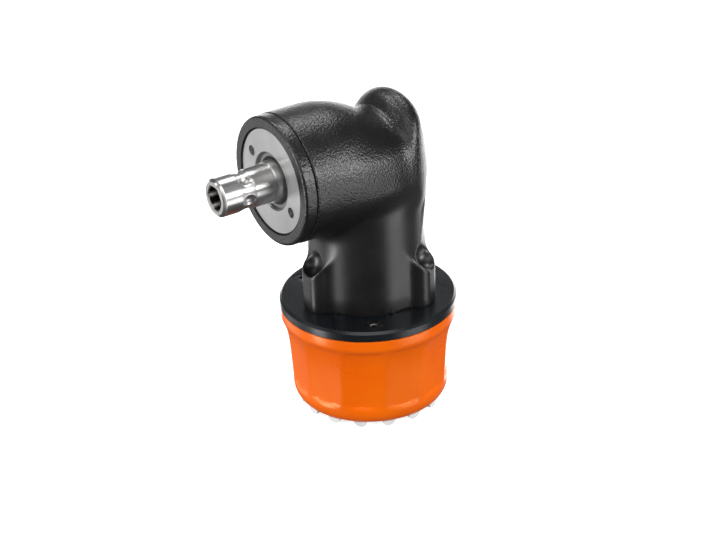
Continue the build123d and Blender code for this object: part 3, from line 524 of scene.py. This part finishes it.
def sleeveTree(values):
    tree, given = newTree("panelledSleeve", values)
    grid, turn, radius, grip, height = turnedGrid(tree, given["Geometry"], given["Columns"], given["Rows"])
    pitch = calculate(tree, "DIVIDE", math.tau, given["Panels"])
    half = calculate(tree, "DIVIDE", pitch, 2.0)
    span = calculate(tree, "SUBTRACT", given["Panel Top"], given["Panel Bottom"])
    level = calculate(tree, "DIVIDE", calculate(tree, "SUBTRACT", height, given["Panel Bottom"]), span)
    twist = calculate(tree, "MULTIPLY", calculate(tree, "SUBTRACT", level, 0.5), given["Panel Twist"])
    start = calculate(tree, "ADD", given["Panel Start"], twist)
    fromEdge = calculate(tree, "ADD", calculate(tree, "SUBTRACT", turn, start), half)
    across = calculate(tree, "SUBTRACT", calculate(tree, "FLOORED_MODULO", fromEdge, pitch), half)
    depth = calculate(tree, "MULTIPLY_ADD", radius, calculate(tree, "COSINE", half), given["Panel Rise"])
    flat = calculate(tree, "DIVIDE", depth, calculate(tree, "COSINE", across))
    pressed = calculate(tree, "SMOOTH_MIN", radius, flat, given["Edge Softness"])
    steps = given["Step Height"]
    above = calculate(tree, "DIVIDE", calculate(tree, "SUBTRACT", height, given["Panel Bottom"]), steps)
    below = calculate(tree, "DIVIDE", calculate(tree, "SUBTRACT", given["Panel Top"], height), steps)
    nearest = calculate(tree, "MULTIPLY", calculate(tree, "MINIMUM", above, below), grip)
    smooth = addNode(tree, "ShaderNodeMapRange", {"Value": nearest}, {"interpolation_type": "SMOOTHSTEP"})
    change = calculate(tree, "SUBTRACT", pressed, radius)
    final = calculate(tree, "MULTIPLY_ADD", change, smooth.outputs["Result"], radius)
    closeTree(tree, bendGrid(tree, grid, turn, final, height), given["Material"])
    return tree


outline = sleeveOutline()
sleeveValues = dict(sleevePanels, Rows=float(len(outline)), Material=finishes["orangePlastic"])
lockingSleeve = makePiece("lockingSleeve", outline, sleeveTree(sleeveValues), sleeveValues)
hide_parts("locking_sleeve")
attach(lockingSleeve, "sleeve")
print("Locking sleeve:", len(lockingSleeve.data.polygons), "faces")

# Countersunk cover screws with a six-lobed recess
coverScrew = {
    "headRadius": 2.7 * mm,
    "shankRadius": 1.5 * mm,
    "length": 5.2 * mm,
    "rim": 0.2 * mm,
    "recessRadius": 1.05 * mm,
    "recessDepth": 0.9 * mm,
}
screwRing = {
    "Columns": 48.0,
    "Lobes": 6.0,
    "Lobe Share": 0.14,
    "Screws": 3,
    "Circle Radius": 21.5 * mm,
    "First Angle": math.radians(60),
    "Face Height": 33.9 * mm,
}


# From the recess's floor, over the head and down the shank; the middle value turns the lobes on
def screwOutline():
    head = coverScrew["headRadius"]
    shank = coverScrew["shankRadius"]
    recess = coverScrew["recessRadius"]
    deep = coverScrew["recessDepth"]
    neck = coverScrew["rim"] + head - shank
    lobed = [(0.0, -deep), (recess * 0.9, -deep), (recess, -0.12 * mm), (recess + 0.1 * mm, -0.02 * mm)]
    plain = [(recess + 0.22 * mm, 0.0), (head - 0.16 * mm, 0.0), (head - 0.05 * mm, -0.05 * mm),
             (head, -0.14 * mm), (head, -coverScrew["rim"]), (shank, -neck), (shank, -coverScrew["length"]),
             (0.0, -coverScrew["length"])]
    return [(r, 1.0, z) for r, z in lobed] + [(r, 0.0, z) for r, z in plain]


def screwTree(values):
    tree, given = newTree("coverScrewRing", values)
    grid, turn, radius, lobed, height = turnedGrid(tree, given["Geometry"], given["Columns"], given["Rows"])
    wave = calculate(tree, "COSINE", calculate(tree, "MULTIPLY", turn, given["Lobes"]))
    swell = calculate(tree, "MULTIPLY", calculate(tree, "MULTIPLY", wave, given["Lobe Share"]), lobed)
    screw = bendGrid(tree, grid, turn, calculate(tree, "MULTIPLY_ADD", radius, swell, radius), height)
    circleInputs = {"Vertices": given["Screws"], "Radius": given["Circle Radius"]}
    circle = addNode(tree, "GeometryNodeMeshCircle", circleInputs).outputs[0]
    lift = addNode(tree, "ShaderNodeCombineXYZ", {"Z": given["Face Height"]}).outputs[0]
    spin = addNode(tree, "ShaderNodeCombineXYZ", {"Z": given["First Angle"]}).outputs[0]
    seatInputs = {"Geometry": circle, "Translation": lift, "Rotation": spin}
    seats = addNode(tree, "GeometryNodeTransform", seatInputs).outputs[0]
    screws = addNode(tree, "GeometryNodeInstanceOnPoints", {"Points": seats, "Instance": screw}).outputs[0]
    closeTree(tree, screws, given["Material"])
    return tree


outline = screwOutline()
screwValues = dict(screwRing, Rows=float(len(outline)), Material=finishes["blackSteel"])
coverScrews = makePiece("coverScrews", outline, screwTree(screwValues), screwValues)
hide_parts("cover_screws")
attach(coverScrews, "housing")
print("Cover screws:", len(coverScrews.data.polygons), "faces")

# Output spindle: turned outline, hexagon socket, and ball dimples in their groove; lengths in mm
spindle = {
    "noseEnd": 48.7,
    "noseRadius": 5.5,
    "noseChamfer": 0.8,
    "edgeBreak": 0.06,
    "socketHalf": 3.175,  # half the hexagon's width across flats
    "socketMouth": 0.35,
    "socketFloor": 36.7,
    "socketPoint": 35.1,
    "grooveCentre": 40.6,
    "grooveHalf": 2.3,
    "grooveDepth": 0.35,
    "grooveMargin": 0.3,
    "grooveSteps": 40,
}
dimples = {
    "Columns": 240.0,
    "Dimples": 6.0,
    "First Dimple": math.radians(-11),
    "Groove Centre": spindle["grooveCentre"] * mm,
    "Groove Radius": (spindle["noseRadius"] - spindle["grooveDepth"]) * mm,
    "Ball Radius": 2.0 * mm,
    "Dimple Depth": 0.9 * mm,
    "Edge Softness": 0.06 * mm,
    "Least Radius": 4.6 * mm,  # nothing nearer the axis is dimpled
}
# Behind the nose: x and radius of the journals, shoulders and seats, in mm
spindleSteps = [(32.0, 5.5), (32.0, 5.75), (31.75, 6.0), (25.2, 6.0), (25.2, 5.4), (24.0, 5.4), (24.0, 6.0),
                (16.0, 6.0), (16.0, 7.8), (13.5, 7.8), (13.5, 7.0), (-4.3, 7.0), (-4.3, 6.0), (-10.7, 6.0),
                (-10.7, 5.0), (-15.3, 5.0), (-15.3, 0.0)]


# Each point: x, radius, and how far it follows the hexagon
def spindleOutline():
    end = spindle["noseEnd"]
    radius = spindle["noseRadius"]
    half = spindle["socketHalf"]
    mouth = spindle["socketMouth"]
    chamfer = spindle["noseChamfer"]
    nick = spindle["edgeBreak"]
    socket = [(spindle["socketPoint"], 0.0, 0.0), (spindle["socketFloor"], half - 0.1, 0.0),
              (spindle["socketFloor"], half, 1.0), (end - mouth, half, 1.0), (end, half + mouth, 0.6)]
    face = [(end, radius - chamfer, 0.0), (end - nick, radius - chamfer + nick / 2, 0.0),
            (end - chamfer + nick / 2, radius - nick, 0.0), (end - chamfer, radius, 0.0)]
    reach = spindle["grooveHalf"] + spindle["grooveMargin"]
    count = spindle["grooveSteps"]
    groove = []
    for index in range(count + 1):
        off = reach - 2 * reach * index / count
        share = min(abs(off) / spindle["grooveHalf"], 1.0)
        dip = spindle["grooveDepth"] * (1 - share**2)
        groove.append((spindle["grooveCentre"] + off, radius - dip, 0.0))
    steps = [(along, across, 0.0) for along, across in spindleSteps]
    return [(across * mm, hexagon, along * mm) for along, across, hexagon in socket + face + groove + steps]


def spindleTree(values):
    tree, given = newTree("outputSpindle", values)

    def do(operation, *values):
        return calculate(tree, operation, *values)

    grid, turn, radius, hexagon, along = turnedGrid(tree, given["Geometry"], given["Columns"], given["Rows"])
    flat = math.tau / 6
    across = do("SUBTRACT", do("FLOORED_MODULO", turn, flat), flat / 2)
    corner = do("SUBTRACT", do("DIVIDE", 1.0, do("COSINE", across)), 1.0)
    radius = do("MULTIPLY", radius, do("MULTIPLY_ADD", corner, hexagon, 1.0))
    pitch = do("DIVIDE", math.tau, given["Dimples"])
    half = do("DIVIDE", pitch, 2.0)
    fromEdge = do("ADD", do("SUBTRACT", turn, given["First Dimple"]), half)
    off = do("SUBTRACT", do("FLOORED_MODULO", fromEdge, pitch), half)
    aside = do("MULTIPLY", off, given["Groove Radius"])
    ahead = do("SUBTRACT", along, given["Groove Centre"])
    square = do("MULTIPLY_ADD", aside, aside, do("MULTIPLY", ahead, ahead))
    ball = given["Ball Radius"]
    inBall = do("MAXIMUM", do("SUBTRACT", do("MULTIPLY", ball, ball), square), 0.0)
    centre = do("ADD", do("SUBTRACT", given["Groove Radius"], given["Dimple Depth"]), ball)
    dent = do("SUBTRACT", centre, do("SQRT", inBall))
    pressed = do("SMOOTH_MIN", radius, dent, given["Edge Softness"])
    onNose = do("GREATER_THAN", do("SUBTRACT", radius, hexagon), given["Least Radius"])
    final = do("MULTIPLY_ADD", do("SUBTRACT", pressed, radius), onNose, radius)
    closeTree(tree, bendGrid(tree, grid, turn, final, along, onOutputAxis=True), given["Material"])
    return tree


outline = spindleOutline()
spindleValues = dict(dimples, Rows=float(len(outline)), Material=finishes["groundSpindle"])
outputSpindle = makePiece("outputSpindle", outline, spindleTree(spindleValues), spindleValues)
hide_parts("output_spindle")
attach(outputSpindle, "spindle")
print("Output spindle:", len(outputSpindle.data.polygons), "faces")

# Cast housing: one skin flows over head, barrel, crest and lobes, as the founder's pattern does
casting = {
    "Voxel": 0.45 * mm,
    "Axis Height": 77.8 * mm,
    "Foot Height": 34.0 * mm,
    "Barrel Radius": 16.9 * mm,
    "Dome Centre": 72.0 * mm,
    "Head Radius": 18.7 * mm,
    "Head Front": 27.3 * mm,
    "Shoulder": 17.0 * mm,  # the head swells towards the ring up to here
    "Slope Radius": 28.9 * mm,
    "Crest Place": -9.6 * mm,
    "Crest Radius": 12.8 * mm,
    "Crest Round": 4.2 * mm,
    "Rear": -17.0 * mm,
    "Rear Slope": math.radians(60),
    "Rear Round": 3.0 * mm,
    "Crest Limit": 17.1 * mm,  # the crest stays within the barrel's own round, seen from above
    "Limit Round": 4.0 * mm,
    "Side Blend": 17.0 * mm,  # between the heights Side Foot and Side Top, full from Full Foot to Full Top
    "Side Foot": 63.0 * mm,
    "Full Foot": 74.0 * mm,
    "Full Top": 82.0 * mm,
    "Side Top": 92.0 * mm,
    "Tight Blend": 6.0 * mm,
    "Crest Blend": 6.5 * mm,
    "Lobes": 3.0,
    "Lobe Reach": 20.8 * mm,
    "Lobe Half Width": 4.4 * mm,
    "Lobe Edge": 3.0 * mm,
    "Lobe Top": 46.6 * mm,
    "Lobe Slope": 0.5,
    "Lobe Blend": 5.0 * mm,
    "Lobe Crest": 1.2 * mm,
    "Roof Share": 0.8,
    "Scoop Radius": 3.7 * mm,
    "Scoop Reach": 19.6 * mm,
    "Scoop Height": 48.9 * mm,
    "Scoop Edge": 1.0 * mm,
}
# Hollows in mm: first x, last x and radius on the output axis; first z, last z and radius on the machine axis
headHollows = [(15.9, 29.0, 14.3), (-7.0, 17.0, 9.3), (-15.3, -11.0, 7.1)]
barrelHollows = [(30.0, 64.6, 13.05), (63.0, 78.0, 9.6)]
# Gear chamber, which also stays within a radius about the machine axis, its last number
chamberHollow = (-12.2, -6.7, 12.9, 15.5)
# The volume grid's lowest and highest corner, and the density at the skin
gridLow = (-18.0 * mm, -22.5 * mm, 33.1 * mm)
gridHigh = (28.8 * mm, 22.5 * mm, 97.0 * mm)
skinDensity = 5.0


def castingTree(values):
    tree, given = newTree("castHousing", values)

    def do(operation, *values):
        return calculate(tree, operation, *values)

    def hypotenuse(first, second):
        pair = addNode(tree, "ShaderNodeCombineXYZ", {"X": first, "Y": second}).outputs[0]
        return vectorResult(tree, "LENGTH", pair)

    def tube(along, across, first, last, radius):
        ends = do("MAXIMUM", do("SUBTRACT", first * mm, along), do("SUBTRACT", along, last * mm))
        return do("MAXIMUM", ends, do("SUBTRACT", across, radius * mm))

    def fade(value, first, last):
        inputs = {"Value": value, "From Min": first, "From Max": last}
        smooth = {"interpolation_type": "SMOOTHSTEP"}
        return addNode(tree, "ShaderNodeMapRange", inputs, smooth).outputs["Result"]

    def carve(skin, hollow):
        return do("MAXIMUM", skin, do("MULTIPLY", hollow, -1.0))

    here = addNode(tree, "GeometryNodeInputPosition").outputs[0]
    parts = addNode(tree, "ShaderNodeSeparateXYZ", {"Vector": here}).outputs
    x, y, z = parts["X"], parts["Y"], parts["Z"]
    fromShaft = hypotenuse(x, y)
    fromAxis = hypotenuse(y, do("SUBTRACT", z, given["Axis Height"]))
    # Head: a round slope behind the shoulder, a straight drum before it
    behind = do("MINIMUM", do("SUBTRACT", x, given["Shoulder"]), 0.0)
    slopeCentre = do("SUBTRACT", given["Head Radius"], given["Slope Radius"])
    slope = hypotenuse(behind, do("SUBTRACT", fromAxis, slopeCentre))
    head = do("SUBTRACT", slope, given["Slope Radius"])
    # Barrel with its domed top
    overDome = do("MAXIMUM", do("SUBTRACT", z, given["Dome Centre"]), 0.0)
    barrel = do("SUBTRACT", hypotenuse(fromShaft, overDome), given["Barrel Radius"])
    # Crest behind the head, with a sloped back, inside the barrel's round
    alongCrest = do("SUBTRACT", x, given["Crest Place"])
    overCrest = do("MAXIMUM", do("SUBTRACT", fromAxis, given["Crest Radius"]), 0.0)
    coin = do("SUBTRACT", hypotenuse(alongCrest, overCrest), given["Crest Round"])
    lean = do("SINE", given["Rear Slope"])
    rise = do("COSINE", given["Rear Slope"])
    backing = do("MULTIPLY", alongCrest, do("MULTIPLY", lean, -1.0))
    climbing = do("MULTIPLY", do("SUBTRACT", fromAxis, given["Crest Radius"]), rise)
    cone = do("SUBTRACT", do("ADD", backing, climbing), given["Crest Round"])
    back = do("SMOOTH_MAX", cone, do("SUBTRACT", given["Rear"], x), given["Rear Round"])
    coneFront = do("ADD", alongCrest, do("MULTIPLY", given["Crest Round"], lean))
    crest = do("MINIMUM", coin, do("MAXIMUM", back, coneFront))
    limit = do("SUBTRACT", fromShaft, given["Crest Limit"])
    crest = do("SMOOTH_MAX", crest, limit, given["Limit Round"])
    # The side of the head flows widely into the barrel, its underside and its top tightly
    rising = fade(z, given["Side Foot"], given["Full Foot"])
    falling = fade(z, given["Side Top"], given["Full Top"])
    extra = do("SUBTRACT", given["Side Blend"], given["Tight Blend"])
    width = do("MULTIPLY_ADD", do("MULTIPLY", rising, falling), extra, given["Tight Blend"])
    skin = do("SMOOTH_MIN", head, barrel, width)
    skin = do("SMOOTH_MIN", skin, crest, given["Crest Blend"])
    # Lobes round the foot
    pitch = do("DIVIDE", math.tau, given["Lobes"])
    half = do("DIVIDE", pitch, 2.0)
    turn = do("ADD", do("ARCTAN2", y, x), half)
    off = do("SUBTRACT", do("FLOORED_MODULO", turn, pitch), half)
    out = do("MULTIPLY", fromShaft, do("COSINE", off))
    aside = do("ABSOLUTE", do("MULTIPLY", fromShaft, do("SINE", off)))
    edge = given["Lobe Edge"]
    sideways = do("MAXIMUM", do("ADD", do("SUBTRACT", aside, given["Lobe Half Width"]), edge), 0.0)
    outwards = do("MAXIMUM", do("ADD", do("SUBTRACT", out, given["Lobe Reach"]), edge), 0.0)
    lobe = do("SUBTRACT", hypotenuse(sideways, outwards), edge)
    slack = do("MULTIPLY", do("SUBTRACT", given["Lobe Reach"], out), given["Lobe Slope"])
    roof = do("SUBTRACT", do("SUBTRACT", z, given["Lobe Top"]), slack)
    lobe = do("SMOOTH_MAX", lobe, do("MULTIPLY", roof, given["Roof Share"]), given["Lobe Crest"])
    skin = do("SMOOTH_MIN", skin, lobe, given["Lobe Blend"])
    # A round scoop over each lobe lets the screw driver in
    scoopOut = hypotenuse(do("SUBTRACT", out, given["Scoop Reach"]), aside)
    scoopUp = do("SUBTRACT", z, given["Scoop Height"])
    scoop = do("SUBTRACT", hypotenuse(scoopOut, scoopUp), given["Scoop Radius"])
    skin = do("SMOOTH_MAX", skin, do("MULTIPLY", scoop, -1.0), given["Scoop Edge"])
    # Flat front and foot, then the hollows
    skin = do("MAXIMUM", skin, do("SUBTRACT", x, given["Head Front"]))
    skin = do("MAXIMUM", skin, do("SUBTRACT", given["Foot Height"], z))
    for first, last, radius in headHollows:
        skin = carve(skin, tube(x, fromAxis, first, last, radius))
    first, last, radius, reach = chamberHollow
    chamber = do("MAXIMUM", tube(x, fromAxis, first, last, radius), do("SUBTRACT", fromShaft, reach * mm))
    skin = carve(skin, chamber)
    for first, last, radius in barrelHollows:
        skin = carve(skin, tube(z, fromShaft, first, last, radius))
    inside = do("SUBTRACT", skinDensity, do("MULTIPLY", skin, 1 / mm))
    gridInputs = {"Density": inside, "Background": 0.0, "Min": gridLow, "Max": gridHigh}
    for axis, first, last in zip("XYZ", gridLow, gridHigh):
        gridInputs["Resolution " + axis] = do("CEIL", do("DIVIDE", last - first, given["Voxel"]))
    cube = addNode(tree, "GeometryNodeVolumeCube", gridInputs).outputs[0]
    meshInputs = {"Volume": cube, "Threshold": skinDensity}
    shell = addNode(tree, "GeometryNodeVolumeToMesh", meshInputs).outputs[0]
    closeTree(tree, shell, given["Material"])
    return tree


castValues = dict(casting, Material=finishes["castPaint"])
castHousing = makePiece("castHousing", [(0.0, 0.0, 0.0)], castingTree(castValues), castValues)
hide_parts("gear_housing")
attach(castHousing, "housing")
print("Cast housing:", len(castHousing.data.polygons), "faces")

# Camera at the photograph's viewing angle
photoWidth = 716.0
focalPixels = 1861.0
sensorWidth = 36.0
cameraPlace = (0.266735, 0.402254, 0.290266)
cameraData = bpy.data.cameras.new("camera")
cameraData.sensor_width = sensorWidth
cameraData.lens = focalPixels / photoWidth * sensorWidth
cameraData.clip_start = 0.01
camera = bpy.data.objects.new("camera", cameraData)
bpy.context.scene.collection.objects.link(camera)
cameraRight = Vector((-0.82659, 0.56185, -0.03278))
cameraUp = Vector((-0.28239, -0.36366, 0.88770))
cameraBack = Vector((0.48683, 0.74302, 0.45926))
turnMatrix = Matrix((cameraRight, cameraUp, cameraBack)).transposed().to_4x4()
camera.matrix_world = Matrix.Translation(cameraPlace) @ turnMatrix
bpy.context.scene.camera = camera

# Pale floor and soft studio boxes
floorMesh = bpy.data.meshes.new("floor")
side = 3.0
corners = [(-side, -side, 0), (side, -side, 0), (side, side, 0), (-side, side, 0)]
floorMesh.from_pydata(corners, [], [(0, 1, 2, 3)])
floor = bpy.data.objects.new("floor", floorMesh)
bpy.context.scene.collection.objects.link(floor)
floorFinish = bpy.data.materials.new("paleFloor")
floorFinish.use_nodes = True
floorShader = floorFinish.node_tree.nodes["Principled BSDF"]
floorShader.inputs["Base Color"].default_value = (0.93, 0.93, 0.93, 1.0)
floorShader.inputs["Roughness"].default_value = 0.9
floorShader.inputs["Specular IOR Level"].default_value = 0.1
floorShader.inputs["Emission Color"].default_value = (1.0, 1.0, 1.0, 1.0)
floorShader.inputs["Emission Strength"].default_value = 0.6
floorMesh.materials.append(floorFinish)
floor.visible_glossy = False
floor.visible_shadow = False
floor.visible_diffuse = False

studioCentre = Vector((0.0, 0.0, 0.05))
# Each box: azimuth and elevation in degrees, distance, width and height in metres, and glow
softBoxes = {
    "leftStrip": (-9.0, 0.0, 0.8, 0.18, 0.9, 14.0),
    "nutBox": (-57.0, -14.0, 0.8, 0.50, 0.5, 1.2),
    "rightBox": (119.0, 18.0, 0.8, 0.50, 0.25, 12.0),
    "rightLow": (115.0, -18.0, 0.8, 0.45, 0.34, 3.8),
    "rearWall": (226.0, -12.0, 0.9, 1.40, 0.70, 3.8),
    "topBox": (222.0, 60.0, 0.8, 0.20, 0.20, 16.0),
    "crestBox": (-56.0, 58.0, 0.8, 0.25, 0.25, 14.0),
    "frontFill": (60.0, 52.0, 1.0, 0.80, 0.80, 1.85),
}
for boxName, (azimuth, elevation, distance, width, height, glow) in softBoxes.items():
    data = bpy.data.lights.new(boxName, "AREA")
    data.shape = "RECTANGLE"
    data.size = width
    data.size_y = height
    data.energy = glow * math.pi * width * height
    box = bpy.data.objects.new(boxName, data)
    bpy.context.scene.collection.objects.link(box)
    level = math.cos(math.radians(elevation))
    direction = Vector((level * math.cos(math.radians(azimuth)), level * math.sin(math.radians(azimuth)),
                        math.sin(math.radians(elevation))))
    box.location = studioCentre + direction * distance
    box.rotation_euler = direction.to_track_quat("Z", "Y").to_euler()

studio = bpy.data.worlds.new("studio")
studio.use_nodes = True
background = studio.node_tree.nodes["Background"]
background.inputs["Color"].default_value = (0.92, 0.95, 1.0, 1.0)
background.inputs["Strength"].default_value = 0.12
bpy.context.scene.world = studio
bpy.context.scene.view_settings.view_transform = "Standard"
print("Camera, floor and lights are set")
